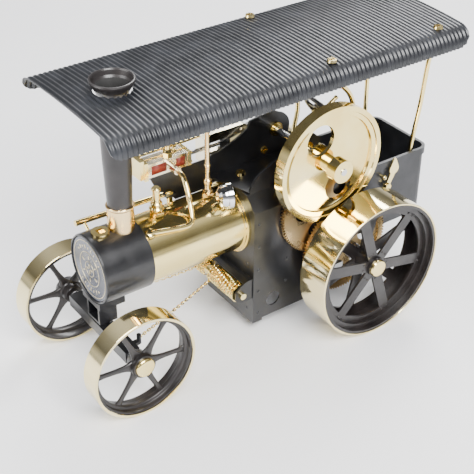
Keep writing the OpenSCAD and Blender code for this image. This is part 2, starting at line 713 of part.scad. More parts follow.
// ---- front axle ----
module perch() {
    color([0.09, 0.09, 0.1]) {
        difference() {
            union() {
                translate([wheelbase - 7, -8.5, 47.4]) cube([14, 17, 22]);
                translate([wheelbase - 12, -12, 62]) cube([20, 24, 8]);
            }
            translate([0, 0, boiler_z]) along_x(170, 210, smoke_r);
            translate([wheelbase - 5, -6.5, 48.9]) cube([15, 13, 13]);
        }
        translate([wheelbase, 0, 34]) cylinder(r = 2.5, h = 14);
        translate([wheelbase, 0, 31.4]) cylinder(r = 4, h = 2);
        translate([wheelbase, 0, 33]) cylinder(r = 2.5, h = 2);
    }
}
module axle_beam() {
    color([0.09, 0.09, 0.1]) difference() {
        union() {
            difference() {
                translate([wheelbase - 5.6, -40, 34]) cube([11.2, 80, 9]);
                translate([wheelbase - 4.4, -41, 33]) cube([8.8, 82, 8.8]);
            }
            for (s = [-1, 1]) translate([wheelbase - 5.6, s * 39 - 1, 34]) cube([11.2, 2, 9]);
            translate([wheelbase, 0, 34]) cylinder(r = 5, h = 13);
            for (s = [-1, 1]) translate([wheelbase - 9, s * 33 - 2, 40.6]) cube([6, 4, 2.4]);
            for (s = [-1, 1]) translate([wheelbase - 9.4, s * 33, 40.6]) cylinder(r = 1.6, h = 7.4);
        }
        translate([wheelbase, 0, 30]) cylinder(r = 2.55, h = 30);
        translate([wheelbase, 0, front_r]) along_y(-45, -6, 2.3);
        translate([wheelbase, 0, front_r]) along_y(6, 45, 2.3);
    }
}
module front_axle() {
    color("silver") translate([wheelbase, 0, front_r]) for (s = [0, 1]) mirror([0, s, 0]) {
        along_y(6, front_face - 2.6, 2.3);
        along_y(40, 41.4, 4.4);
    }
}
module front_rim() {
    color("gold") turn_y(wheelbase, front_r)
        polygon([[front_r - 1.5, front_face - front_w], [front_r - 0.2, front_face - front_w],
            [front_r, front_face - front_w + 0.2], [front_r, front_face - 0.2], [front_r - 0.2, front_face],
            [front_r - 1.9, front_face], [front_r - 2.1, front_face - 0.6], [front_r - 1.5, front_face - 1]]);
}
module front_spokes() {
    translate([wheelbase, 0, front_r]) {
        color([0.14, 0.13, 0.13]) difference() {
            union() {
                difference() {
                    along_y(front_face - front_w + 0.4, front_face - 1, front_r - 1.5);
                    along_y(front_face - front_w - 1, front_face, front_r - 3.2);
                }
                difference() {
                    along_y(front_face - 9.6, front_face - 5.2, front_r - 3);
                    along_y(front_face - 10, front_face - 5, front_r - 5.4);
                }
                for (a = [0 : 60 : 359]) rotate([0, -a - 5.3, 0]) side(front_face - 8.8, front_face - 6)
                    polygon([[5, -4.4], [front_r - 4, -2.2], [front_r - 4, 2.2], [5, 4.4]]);
                along_y(front_face - 15, front_face - 2.2, 8.9);
            }
            along_y(front_face - 30, front_face + 1, 2.36);
        }
        color("gold") turn_y(0, 0) polygon([[0, front_face - 2.2], [7.3, front_face - 2.2], [7.3, front_face - 0.9],
            [6.6, front_face - 0.1], [5, front_face + 0.6], [0, front_face + 0.6]]);
    }
}
module front_rim_left() { front_rim(); }
module front_rim_right() { mirror([0, 1, 0]) front_rim(); }
module front_spokes_left() { front_spokes(); }
module front_spokes_right() { mirror([0, 1, 0]) front_spokes(); }

// ---- steering gear ----
module steering_bracket() {
    color([0.09, 0.09, 0.1]) {
        translate([80, -29, 33]) cube([1.6, 58, 17.5]);
        side(-29, 29) polygon([[80, 50.5], [80, 49], [83.4, 49], [87.4, 48.2], [88, 49.2], [84, 50.5]]);
        difference() {
            for (y = [-29, 27.4]) side(y, y + 1.6)
                polygon([[80, 33], [90, 33], [95, 36], [95, 43], [89.4, 48.2], [84, 50.5], [80, 50.5]]);
            translate([drum_x, 0, drum_z]) along_y(-32, 32, 2.55);
        }
        // bearings of the steering column: at its foot, and on the firebox's far side
        difference() {
            union() {
                translate([14, -36.8, 98]) cube([4, 6.8, 9]);
                translate([95, -30.6, 42]) cube([8.6, 3.2, 4]);
                col_axis(-9, -6.9, 4.2);
            }
            col_axis(-10, 200, 2.06);
        }
    }
}
module steering_drum() {
    color("gold") translate([drum_x, 0, drum_z]) {
        along_y(-37, 31.6, 2.5);
        along_y(-26.6, 26.6, 4.6);
        for (y = [-26.6, 25.6]) along_y(y, y + 1, 7);
        side(-36.6, -32) gear2d(12, 1.25, 11);
    }
}
module col_axis(t0, t1, r) {
    a = [col_p[0] + t0 * col_u[0], col_y, col_p[1] + t0 * col_u[1]];
    b = [col_p[0] + t1 * col_u[0], col_y, col_p[1] + t1 * col_u[1]];
    bar(a, b, r);
}
module steering_column() {
    color("gold") {
        col_axis(-9, 153, 2);
        col_axis(-6.4, 6.4, 3.2);
        col_axis(144, 153.6, 3.4);
    }
}
module steering_wheel() {
    color([0.06, 0.06, 0.06]) translate([col_p[0] + 149 * col_u[0], col_y, col_p[1] + 149 * col_u[1]])
        rotate([0, col_a - 90, 0]) {
            rotate_extrude($fn = 72) translate([13.2, 0]) circle(r = 1.7, $fn = 24);
            difference() {
                cylinder(r = 5, h = 2.6, center = true);
                cylinder(r = 3.42, h = 6, center = true);
            }
            for (a = [0 : 120 : 359]) rotate([0, 0, a + 30]) translate([4.4, -1.2, -0.7]) cube([8, 2.4, 1.4]);
        }
    color("gold") translate([col_p[0] + 149 * col_u[0], col_y, col_p[1] + 149 * col_u[1]])
        rotate([0, col_a - 90, 0]) rotate([0, 0, 60]) translate([13.2, 0, 1.4]) cylinder(r = 1.8, h = 13);
}
module chain_coil(y0, n) {
    for (i = [0 : n - 1]) translate([drum_x, 0, drum_z]) rotate([90, 0, 0]) translate([0, 0, -(y0 + i * 3.1)])
        rotate_extrude($fn = 40) translate([6, 0]) circle(r = 1.3, $fn = 16);
}
module chain_left() {
    color([0.85, 0.75, 0.45]) {
        bar([drum_x + 0.8, -8, drum_z - 5.95], [177.8, 33, 45.4], 1.2);
        chain_coil(-8, 11);
    }
}
module chain_right() {
    color([0.85, 0.75, 0.45]) {
        bar([drum_x, -23.4, drum_z + 6], [177.8, -33, 45.4], 1.2);
        chain_coil(-23.4, 4);
    }
}

// ---- canopy ----
// section of the canopy: a flat crown and round shoulders; t is how far inside the outer face
module roof2d(t, low) {
    shoulder = [for (a = [0 : 9.5 : 85.5]) [roof_y - roof_r + (roof_r - t) * cos(a), roof_z - 13.95 + (roof_r - t) * sin(a)]];
    crown = [for (y = [46 : -4 : -46]) [y, roof_h(y) - t]];
    far = [for (i = [len(shoulder) - 1 : -1 : 0]) [-shoulder[i][0], shoulder[i][1]]];
    polygon(concat([[roof_y - t, low]], shoulder, crown, far, [[t - roof_y, low]]));
}
module canopy() {
    color([0.12, 0.12, 0.13]) difference() {
        cross(roof_x0, roof_x1) difference() {
            roof2d(0, roof_low);
            roof2d(roof_t, roof_low - 1);
        }
        // lower corners of the turned-down sides are round
        side(-70, 70) for (m = [0, 1]) translate([m * (roof_x0 + roof_x1), 0]) mirror([m, 0]) difference() {
            translate([roof_x1 - 10, roof_low - 1]) square([11, 11]);
            translate([roof_x1 - 10, roof_low + 10]) circle(r = 10);
        }
        translate([stack_x, 0, 200]) cylinder(r = 12.6, h = 30);
        for (x = roof_screw_x, s = [-1, 1]) translate([x, s * roof_screw_y, 200]) cylinder(r = 1.3, h = 30);
    }
}
module canopy_posts() {
    color("gold") for (p = [rear_post, front_post]) {
        pipe(route(p, 2), post_r, [1, 0, 0], 10);
        pipe(route([for (v = p) [v[0], -v[1], v[2]]], 2), post_r, [1, 0, 0], 10);
    }
}
// nuts and screws that hold the canopy on its posts
module roof_screws() {
    for (x = roof_screw_x, s = [-1, 1]) translate([x, s * roof_screw_y, 0]) {
        difference() {
            translate([0, 0, roof_h(roof_screw_y) - 6]) cylinder(r = 3.2, h = 2.9);
            translate([0, 0, roof_h(roof_screw_y) - 7]) cylinder(r = 2.2, h = 1.9);
        }
        translate([0, 0, roof_h(roof_screw_y) - 3.2]) cylinder(r = 1.2, h = 4.2);
        translate([0, 0, roof_h(roof_screw_y) + 0.7]) screw_head(3.6, 1.6, 0.9);
    }
}

module place() { translate([-origin_x, 0, 0]) children(); }

place() boiler();
place() boiler_ends();
place() boiler_band();
place() smokebox();
place() smokebox_front();
place() chimney();
place() chimney_collar();
place() smokebox_plug();
place() safety_valve();
place() safety_stem();
place() whistle();
place() gauge_case();
place() gauge_pipe();
place() gauge_needle();
place() handrail();
place() firebox();
place() firebox_rivets();
place() hornplates();
place() tender();
place() tender_lever();
place() tow_bar();
place() burner_tray();
place() engine_bed();
place() brass_screws();
place() shaft_bearings();
place() cylinder_block();
place() cylinder_covers();
place() oil_cup();
place() slide_bars();
place() steam_rail();
place() exhaust_pipe();
place() piston();
place() connecting_rod();
place() valve_rod();
place() crankshaft();
place() crank_pinion();
place() flywheel();
place() flywheel_boss();
place() gear_stud();
place() gear_wheel();
place() rear_axle();
place() drive_wheel();
place() rear_rims();
place() rear_spokes();
place() rear_caps();
place() perch();
place() axle_beam();
place() front_axle();
place() front_rim_left();
place() front_spokes_left();
place() front_rim_right();
place() front_spokes_right();
place() steering_bracket();
place() steering_drum();
place() steering_column();
place() steering_wheel();
place() chain_left();
place() chain_right();
place() canopy();
place() canopy_posts();
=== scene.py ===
"""Looks of a toy steam traction engine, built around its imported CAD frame."""
import math

import bmesh
import bpy
from mathutils import Matrix, Vector


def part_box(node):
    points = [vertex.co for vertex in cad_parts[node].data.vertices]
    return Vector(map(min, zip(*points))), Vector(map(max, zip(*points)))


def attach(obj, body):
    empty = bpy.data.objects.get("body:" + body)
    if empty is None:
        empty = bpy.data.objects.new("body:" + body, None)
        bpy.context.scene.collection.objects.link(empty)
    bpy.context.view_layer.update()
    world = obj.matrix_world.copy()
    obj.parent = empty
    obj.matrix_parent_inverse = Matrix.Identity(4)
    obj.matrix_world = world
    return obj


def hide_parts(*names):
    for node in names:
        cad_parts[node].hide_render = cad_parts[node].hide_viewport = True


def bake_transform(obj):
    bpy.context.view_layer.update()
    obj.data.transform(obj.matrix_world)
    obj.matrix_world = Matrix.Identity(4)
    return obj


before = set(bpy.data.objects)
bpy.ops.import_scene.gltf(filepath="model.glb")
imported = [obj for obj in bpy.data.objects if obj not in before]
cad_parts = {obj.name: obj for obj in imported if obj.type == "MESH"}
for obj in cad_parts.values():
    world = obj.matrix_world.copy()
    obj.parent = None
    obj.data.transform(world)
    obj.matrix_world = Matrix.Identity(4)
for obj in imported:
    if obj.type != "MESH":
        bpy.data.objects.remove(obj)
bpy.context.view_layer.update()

# ---- places: millimetres, with X = 0 at the rear axle and Z = 0 on the ground ----
AXLE_X = sum(corner.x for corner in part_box("rear_axle")) / 2
BOILER_Z = 90.6
STACK_X = 170.4
REAR_R = 55.0
REAR_FACE = 80.4
WHEELBASE = 189.5
FRONT_R = 39.3
DRUM = (90.0, 40.0)
ROOF_X = (-88.0, 206.0)
ROOF_Z = 219.0
ROOF_Y = 58.0
ROOF_LOW = 203.0
ROOF_CROWN = 0.0009
ROOF_SCREW_Y = 46
POST_R = 1.8
COLUMN_TILT = math.radians(33)
COLUMN_Y = -34.2
COLUMN_OFF = 12  # from the drum's axis, square to the column
COLUMN_WHEEL = 149  # from there along the column to the steering wheel
STEERING_R = 13.2
FRONT_FACE = 58.2
FRONT_SPOKE_TILT = 5.3  # degrees, of the first spoke
REAR_SPOKE_TILT = 12.6
SPOKES = 6
MEDALLION_X = 196.6
GAUGE = (94.4, 17, 121.6)
GAUGE_YAW = math.radians(163)
EXHAUST_FLANGE_X = 156.4
EXHAUST_TILT = math.radians(34.8)


def mm(x, y, z):
    """A point of the CAD frame, in metres, from millimetres counted from the rear axle."""
    return Vector((AXLE_X + x / 1000, y / 1000, z / 1000))


def roof_height(y):
    return ROOF_Z - ROOF_CROWN * y * y


# ---- materials ----
def new_material(name, colour, metallic, roughness, coat=0.0):
    """A material whose Principled shader has its plain values set. Returns the material, its nodes and links."""
    mat = bpy.data.materials.new(name)
    mat.use_nodes = True
    nodes, links = mat.node_tree.nodes, mat.node_tree.links
    shader = nodes["Principled BSDF"]
    shader.inputs["Base Color"].default_value = (*colour, 1)
    shader.inputs["Metallic"].default_value = metallic
    shader.inputs["Roughness"].default_value = roughness
    shader.inputs["Coat Weight"].default_value = coat
    shader.inputs["Coat Roughness"].default_value = 0.12
    mat.diffuse_color = (*colour, 1)
    return mat, nodes, links, shader


def noise(nodes, links, scale, detail=4.0, stretch=(1, 1, 1)):
    """Noise over the piece's own coordinates; stretch squeezes it along an axis."""
    coords = nodes.new("ShaderNodeTexCoord")
    mapping = nodes.new("ShaderNodeMapping")
    mapping.inputs["Scale"].default_value = stretch
    texture = nodes.new("ShaderNodeTexNoise")
    texture.inputs["Scale"].default_value = scale
    texture.inputs["Detail"].default_value = detail
    links.new(coords.outputs["Object"], mapping.inputs["Vector"])
    links.new(mapping.outputs["Vector"], texture.inputs["Vector"])
    return texture.outputs["Fac"]


def spread(nodes, links, fac, low, high):
    """Maps the middle of a noise onto the range from low to high."""
    ramp = nodes.new("ShaderNodeMapRange")
    ramp.inputs["From Min"].default_value = 0.3
    ramp.inputs["From Max"].default_value = 0.7
    ramp.inputs["To Min"].default_value = low
    ramp.inputs["To Max"].default_value = high
    links.new(fac, ramp.inputs["Value"])
    return ramp.outputs["Result"]


def tint(nodes, links, fac, colours):
    """Blends between colours along a noise."""
    ramp = nodes.new("ShaderNodeValToRGB")
    stops = ramp.color_ramp.elements
    stops[0].position, stops[1].position = 0.32, 0.7
    stops[0].color, stops[1].color = (*colours[0], 1), (*colours[-1], 1)
    if len(colours) > 2:
        middle = stops.new(0.5)
        middle.color = (*colours[1], 1)
    links.new(fac, ramp.inputs["Fac"])
    return ramp.outputs["Color"]


def bump(nodes, links, shader, fac, strength, distance):
    node = nodes.new("ShaderNodeBump")
    node.inputs["Strength"].default_value = strength
    node.inputs["Distance"].default_value = distance
    links.new(fac, node.inputs["Height"])
    links.new(node.outputs["Normal"], shader.inputs["Normal"])


def metal(name, colours, rough=(0.06, 0.16), grain=(1, 1, 1), grain_scale=900.0, lines=0.06):
    """Polished or turned metal: tarnish in the colour, smears in the gloss, and fine tool lines along grain."""
    mat, nodes, links, shader = new_material(name, colours[0], 1.0, rough[0])
    links.new(tint(nodes, links, noise(nodes, links, 38.0, 6.0), colours), shader.inputs["Base Color"])
    links.new(spread(nodes, links, noise(nodes, links, 90.0, 8.0), *rough), shader.inputs["Roughness"])
    bump(nodes, links, shader, noise(nodes, links, grain_scale, 3.0, grain), lines, 0.0002)
    return mat


def enamel(name, colours, rough=(0.28, 0.42), coat=0.25, peel=0.12, peel_scale=700.0):
    """Stoved enamel on sheet metal: faint dust and rubbing in the colour, orange peel in the bump."""
    mat, nodes, links, shader = new_material(name, colours[0], 0.0, rough[0], coat)
    links.new(tint(nodes, links, noise(nodes, links, 55.0, 8.0), colours), shader.inputs["Base Color"])
    links.new(spread(nodes, links, noise(nodes, links, 120.0, 8.0), *rough), shader.inputs["Roughness"])
    bump(nodes, links, shader, noise(nodes, links, peel_scale, 2.0), peel, 0.0002)
    return mat


BRASS = metal("polished_brass", [(0.88, 0.67, 0.25), (0.93, 0.75, 0.32), (0.96, 0.81, 0.41)])
BRASS_TREAD = metal("rolled_brass", [(0.91, 0.76, 0.38), (0.95, 0.83, 0.48)], (0.05, 0.12),
                    (1, 0.04, 1), 1400.0, 0.05)
BRASS_DRAWN = metal("drawn_brass", [(0.88, 0.69, 0.26), (0.93, 0.77, 0.34)], (0.10, 0.18), (0.05, 1, 1), 1300.0, 0.08)
BRASS_WARM = metal("cast_brass", [(0.82, 0.54, 0.24), (0.90, 0.64, 0.31), (0.94, 0.71, 0.38)], (0.12, 0.26))
BRASS_PALE = metal("milled_brass", [(0.90, 0.80, 0.58), (0.94, 0.86, 0.66)], (0.10, 0.22), (0.06, 1, 1), 1200.0, 0.14)
BRASS_GEAR = metal("gear_brass", [(0.55, 0.38, 0.18), (0.72, 0.52, 0.26)], (0.22, 0.38))
GOLD_INK = metal("gold_print", [(0.72, 0.62, 0.40), (0.82, 0.72, 0.50)], (0.26, 0.4))
NICKEL = metal("nickel_plate", [(0.72, 0.72, 0.73), (0.80, 0.80, 0.81)], (0.07, 0.16))
STEEL = metal("bright_steel", [(0.60, 0.60, 0.61), (0.70, 0.70, 0.71)], (0.16, 0.30), (1, 0.05, 1), 1100.0, 0.14)
STEEL_DARK = metal("plain_steel", [(0.30, 0.29, 0.29), (0.40, 0.39, 0.38)], (0.28, 0.44))
BLACK = enamel("black_enamel", [(0.005, 0.005, 0.006), (0.008, 0.008, 0.009), (0.015, 0.015, 0.017)])
BLACK_BODY = enamel("tender_enamel", [(0.008, 0.0085, 0.010), (0.013, 0.014, 0.017), (0.024, 0.025, 0.029)],
                    (0.34, 0.5), 0.12)
BLACK_WHEEL = enamel("wheel_enamel", [(0.008, 0.006, 0.006), (0.014, 0.011, 0.010), (0.026, 0.021, 0.020)],
                     (0.3, 0.46), 0.2)
BLACK_CHIMNEY = enamel("chimney_enamel", [(0.012, 0.010, 0.010), (0.020, 0.017, 0.017), (0.033, 0.028, 0.027)],
                       (0.3, 0.45), 0.15, 0.1, 500.0)
BLACK_ROOF = enamel("canopy_enamel", [(0.007, 0.008, 0.010), (0.013, 0.014, 0.017), (0.024, 0.026, 0.031)],
                    (0.3, 0.44), 0.2)
BLUE_BLACK = enamel("medallion_enamel", [(0.055, 0.062, 0.085), (0.075, 0.085, 0.115)], (0.22, 0.34), 0.4)
RED = enamel("red_enamel", [(0.30, 0.035, 0.02), (0.42, 0.06, 0.035)], (0.3, 0.45), 0.2)
WHITE = enamel("dial_white", [(0.78, 0.77, 0.74), (0.86, 0.85, 0.82)], (0.3, 0.4), 0.3)
# Matt near-black: inside the chimney it is partly soot and partly painted shade; on the gauge it is the black print
# of the ticks.
MATT_BLACK = enamel("matt_black", [(0.006, 0.006, 0.006), (0.02, 0.019, 0.018)], (0.7, 0.9), 0.0, 0.4)


# ---- mesh helpers ----
def solid(name, points, faces):
    """A mesh object from points in millimetres, with its doubled points merged and its faces turned outwards."""
    mesh = bpy.data.meshes.new(name)
    mesh.from_pydata([mm(*p) for p in points], [], faces)
    work = bmesh.new()
    work.from_mesh(mesh)
    bmesh.ops.remove_doubles(work, verts=work.verts, dist=1e-7)
    bmesh.ops.dissolve_degenerate(work, edges=work.edges, dist=1e-8)
    bmesh.ops.recalc_face_normals(work, faces=work.faces)
    work.to_mesh(mesh)
    work.free()
    obj = bpy.data.objects.new(name, mesh)
    bpy.context.scene.collection.objects.link(obj)
    return obj


def smooth_by_angle(obj, degrees):
    """Smooth faces, with every edge sharper than the angle kept crisp."""
    mesh = obj.data
    mesh.polygons.foreach_set("use_smooth", [True] * len(mesh.polygons))
    work = bmesh.new()
    work.from_mesh(mesh)
    limit = math.radians(degrees)
    sharp = {e.index for e in work.edges if len(e.link_faces) != 2 or e.calc_face_angle(0) > limit}
    work.free()
    layer = mesh.attributes.get("sharp_edge") or mesh.attributes.new("sharp_edge", "BOOLEAN", "EDGE")
    layer.data.foreach_set("value", [i in sharp for i in range(len(mesh.edges))])


def finish_piece(obj, mat, body, stands_for=(), crease=32):
    """Gives a piece its material, smooth faces, body, and the CAD nodes that it stands for."""
    obj.data.materials.append(mat)
    smooth_by_angle(obj, crease)
    if body:
        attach(obj, body)
    if stands_for:
        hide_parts(*stands_for)
    return obj


def piece(name, points, faces, mat, body, slot, stands_for=(), crease=32):
    return finish_piece(solid(name, points, faces), mat, body, stands_for, crease)


def turned(profile, origin, axis, steps=96):
    """Points and faces of a closed profile of (radius, height) turned about an axis through origin."""
    along = Vector(axis).normalized()
    side = along.orthogonal().normalized()
    other = along.cross(side)
    centre = Vector(origin)
    points, faces = [], []
    n = len(profile)
    for i in range(steps):
        angle = 2 * math.pi * i / steps
        out = side * math.cos(angle) + other * math.sin(angle)
        points += [tuple(centre + out * r + along * h) for r, h in profile]
        j = (i + 1) % steps
        for k in range(n):
            m = (k + 1) % n
            if profile[k][0] > 0 or profile[m][0] > 0:
                faces.append((i * n + k, j * n + k, j * n + m, i * n + m))
    return points, faces


def lathe(name, profile, origin, axis, mat, body, slot, stands_for=()):
    return piece(name, *turned(profile, origin, axis), mat, body, slot, stands_for)


def route(points, steps=6):
    """A smooth route through the points (Catmull-Rom)."""
    pts = [Vector(p) for p in points]
    last = len(pts) - 1
    out = []
    for i in range(last):
        a, b, c, d = pts[max(i - 1, 0)], pts[i], pts[i + 1], pts[min(i + 2, last)]
        for k in range(steps):
            t = k / steps
            out.append(b + 0.5 * t * (c - a + t * (2 * a - 5 * b + 4 * c - d + t * (3 * (b - c) + d - a))))
    return out + [pts[last]]


def tube_mesh(path, radius, sides=20):
    """Rings of a round tube along a path, closed at both ends. Returns points and faces."""
    points, faces = [], []
    last = len(path) - 1
    tangent = (path[1] - path[0]).normalized()
    side = tangent.orthogonal().normalized()
    for i, p in enumerate(path):
        new = (path[min(i + 1, last)] - path[max(i - 1, 0)]).normalized()
        side = (side - new * side.dot(new)).normalized()
        other = new.cross(side)
        for k in range(sides):
            angle = 2 * math.pi * k / sides
            points.append(tuple(p + side * (radius * math.cos(angle)) + other * (radius * math.sin(angle))))
    for i in range(last):
        for k in range(sides):
            m = (k + 1) % sides
            faces.append((i * sides + k, i * sides + m, (i + 1) * sides + m, (i + 1) * sides + k))
    faces.append(tuple(range(sides)))
    faces.append(tuple(last * sides + k for k in range(sides)))
    return points, faces


def tubes(name, paths, radius, mat, body, slot, stands_for=()):
    return piece(name, *gather([tube_mesh(path, radius) for path in paths]), mat, body, slot, stands_for)


def dome(centre, normal, radius, height, rings=5, sides=20):
    """Points and faces of a rivet head on a surface."""
    n = Vector(normal).normalized()
    side = n.orthogonal().normalized()
    other = n.cross(side)
    points, faces = [], []
    for i in range(rings):
        angle = math.pi / 2 * i / rings
        r, h = radius * math.cos(angle), height * math.sin(angle)
        for k in range(sides):
            a = 2 * math.pi * k / sides
            points.append(tuple(Vector(centre) + n * h + side * (r * math.cos(a)) + other * (r * math.sin(a))))
    points.append(tuple(Vector(centre) + n * height))
    for i in range(rings - 1):
        for k in range(sides):
            m = (k + 1) % sides
            faces.append((i * sides + k, i * sides + m, (i + 1) * sides + m, (i + 1) * sides + k))
    top = len(points) - 1
    for k in range(sides):
        faces.append(((rings - 1) * sides + k, (rings - 1) * sides + (k + 1) % sides, top))
    faces.append(tuple(range(sides))[::-1])
    return points, faces


def gather(shapes):
    """One list of points and faces from several."""
    points, faces = [], []
    for p, f in shapes:
        faces += [tuple(i + len(points) for i in face) for face in f]
        points += p
    return points, faces


def bake_modifiers(obj):
    graph = bpy.context.evaluated_depsgraph_get()
    mesh = bpy.data.meshes.new_from_object(obj.evaluated_get(graph))
    obj.modifiers.clear()
    obj.data = mesh


def cut(obj, cutter):
    """Takes cutter away from obj, and leaves no modifier."""
    mod = obj.modifiers.new("cut", "BOOLEAN")
    mod.object = cutter
    mod.operation = "DIFFERENCE"
    mod.solver = "EXACT"
    bake_modifiers(obj)
    bpy.data.objects.remove(cutter)


# ---- canopy ----
RIB_PITCH = 3.65
RIB_DEPTH = 0.95
SHEET_T = 0.9


SHOULDER = (46.0, 205.05, 12.0)  # centre and radius of the round shoulder, across the width
CORNER_R = 10.0


def roof_side(travel):
    """Point and outward normal this far up the turned-down side: a short flat lip, then the shoulder."""
    y, z, radius = SHOULDER
    lip = z - ROOF_LOW
    if travel < lip:
        return (ROOF_Y, ROOF_LOW + travel), (1, 0)
    angle = (travel - lip) / radius
    out = (math.cos(angle), math.sin(angle))
    return (y + radius * out[0], z + radius * out[1]), out


def roof_section(lowest):
    """Outline of the canopy across its width with its outward normals; lowest is where the sides end."""
    y, z, radius = SHOULDER
    lip = z - ROOF_LOW
    start = lowest - ROOF_LOW if lowest < z else lip + radius * math.asin((lowest - z) / radius)
    end = lip + radius * math.radians(85.5)
    near = [roof_side(start + (end - start) * i / 16) for i in range(17)]
    crown = []
    for i in range(25):
        across = y - 2 * y * i / 24
        slope = 2 * ROOF_CROWN * across
        length = math.hypot(slope, 1)
        crown.append(((across, roof_height(across)), (slope / length, 1 / length)))
    far = [((-q[0], q[1]), (-n[0], n[1])) for q, n in reversed(near)]
    return near + crown + far


def make_canopy():
    """Sheet with rolled ribs across it: both faces follow the ribs, and the lower corners are round."""
    length = ROOF_X[1] - ROOF_X[0]
    ribs = round(length / RIB_PITCH)
    steps = ribs * 8
    points, faces = [], []
    for layer in (0, 1):
        for i in range(steps + 1):
            along = length * i / steps
            inset = CORNER_R - min(along, length - along, CORNER_R)
            section = roof_section(ROOF_LOW + CORNER_R - math.sqrt(CORNER_R ** 2 - inset ** 2))
            depth = RIB_DEPTH * 0.5 * (1 - math.cos(2 * math.pi * ribs * i / steps)) + layer * SHEET_T
            points += [(ROOF_X[0] + along, q[0] - n[0] * depth, q[1] - n[1] * depth) for q, n in section]
    n = len(section)
    under = (steps + 1) * n
    for i in range(steps):
        for k in range(n - 1):
            a, b = i * n + k, (i + 1) * n + k
            faces.append((a, b, b + 1, a + 1))
            faces.append((under + a, under + a + 1, under + b + 1, under + b))
        for k in (0, n - 1):
            a, b = i * n + k, (i + 1) * n + k
            faces.append((a, under + a, under + b, b))
    for i in (0, steps):
        for k in range(n - 1):
            a = i * n + k
            faces.append((a, a + 1, under + a + 1, under + a))
    obj = solid("canopy_ribbed", points, faces)
    cut(obj, solid("cutter", *turned([(0, -30), (12.6, -30), (12.6, 30), (0, 30)], (STACK_X, 0, 215), (0, 0, 1))))
    finish_piece(obj, BLACK_ROOF, "chassis", ("canopy",), 50)


# ---- posts and pipes: the same points as in the design ----
POST_TOP = roof_height(ROOF_SCREW_Y) - 6
REAR_POST = [(-71, 26.9, 53.3), (-71, 26.9, 80), (-71, 26.9, 111), (-73.4, 30, 150), (-74, 33, 186),
             (-68, 43, 203), (-66, ROOF_SCREW_Y, POST_TOP - 4), (-66, ROOF_SCREW_Y, POST_TOP)]
FRONT_POST = [(1.6, 26.9, 63.5), (1.6, 26.9, 90), (1.6, 26.9, 113), (-0.4, 29, 125), (-5, 32, 147),
              (4, 38.4, 180), (24, 44, 201), (30.5, ROOF_SCREW_Y, POST_TOP - 4), (30.5, ROOF_SCREW_Y, POST_TOP)]
EXHAUST = [(118.6, -7, 137.2), (118.8, -3, 136.8), (119.4, 1.5, 134.6), (120.2, 6.4, 128.4), (121.6, 11.4, 120.4),
           (123.4, 16, 113.8), (127, 18.8, 111), (134, 18.6, 110.8), (156, 15.6, 113)]


def mirrored(points):
    return [(x, -y, z) for x, y, z in points]


def make_posts():
    paths = [route(p, 8) for base in (REAR_POST, FRONT_POST) for p in (base, mirrored(base))]
    tubes("canopy_posts_bent", paths, POST_R, BRASS, "chassis", "brass", ("canopy_posts",))


def make_exhaust():
    tubes("exhaust_pipe_bent", [route(EXHAUST, 8)], 1.9, BRASS, "chassis", "brass", ("exhaust_pipe",))
    out = Vector((0, math.sin(EXHAUST_TILT), math.cos(EXHAUST_TILT)))
    base = Vector((EXHAUST_FLANGE_X, 0, BOILER_Z)) + out * 24.0
    lathe("exhaust_flange", [(0, 0), (3.3, 0), (3.4, 0.4), (3.4, 3.2), (3.0, 4.2), (2.2, 4.6), (0, 4.6)], base, out,
          BRASS, "chassis", "brass")


# ---- smokebox front: a geometric ornament in place of any lettering ----
def petal(angle, middle, long_way, wide):
    """A thin raised lozenge on the smokebox front, pointing away from its centre."""
    ring = []
    for k in range(16):
        b = 2 * math.pi * k / 16
        r, t = middle + long_way * math.cos(b), wide * math.sin(b)
        ring.append((r * math.cos(angle) - t * math.sin(angle), r * math.sin(angle) + t * math.cos(angle)))
    points = [(MEDALLION_X + h, y, BOILER_Z + z) for h in (0, 0.3) for y, z in ring]
    faces = [tuple(range(16)), tuple(range(16, 32))]
    faces += [(k, (k + 1) % 16, 16 + (k + 1) % 16, 16 + k) for k in range(16)]
    return points, faces


def make_medallion():
    front = (MEDALLION_X, 0, BOILER_Z)
    lathe("medallion_plate", [(0, -2), (23.7, -2), (23.7, -0.25), (23.4, 0), (0, 0)], front, (1, 0, 0),
          BLUE_BLACK, "chassis", "plate_dark", ("smokebox_front",))
    for radius, half in ((21.3, 0.22), (12.9, 0.2), (5.6, 0.2)):
        lathe("ring_%d" % round(radius * 10),
              [(radius - half, 0), (radius - half, 0.25), (radius, 0.35), (radius + half, 0.25), (radius + half, 0)],
              front, (1, 0, 0), GOLD_INK, "chassis", "brass")
    shapes = []
    for middle_angle, count, pitch in ((90, 9, 13.5), (270, 7, 13.5)):
        for i in range(count):
            angle = math.radians(middle_angle + pitch * (i - (count - 1) / 2))
            shapes.append(petal(angle, 17.0, 1.5 if i % 2 else 0.9, 0.42 if i % 2 else 0.55))
    for i in range(6):
        shapes.append(petal(math.radians(60 * i + 30), 9.2, 1.7, 0.5))
    for i in range(4):
        shapes.append(petal(math.radians(90 * i), 2.6, 1.7, 0.55))
    piece("medallion_ornament", *gather(shapes), GOLD_INK, "chassis", "brass")


# ---- steering chains ----
LINK_PITCH = 2.75
LINK_WIRE = 0.46


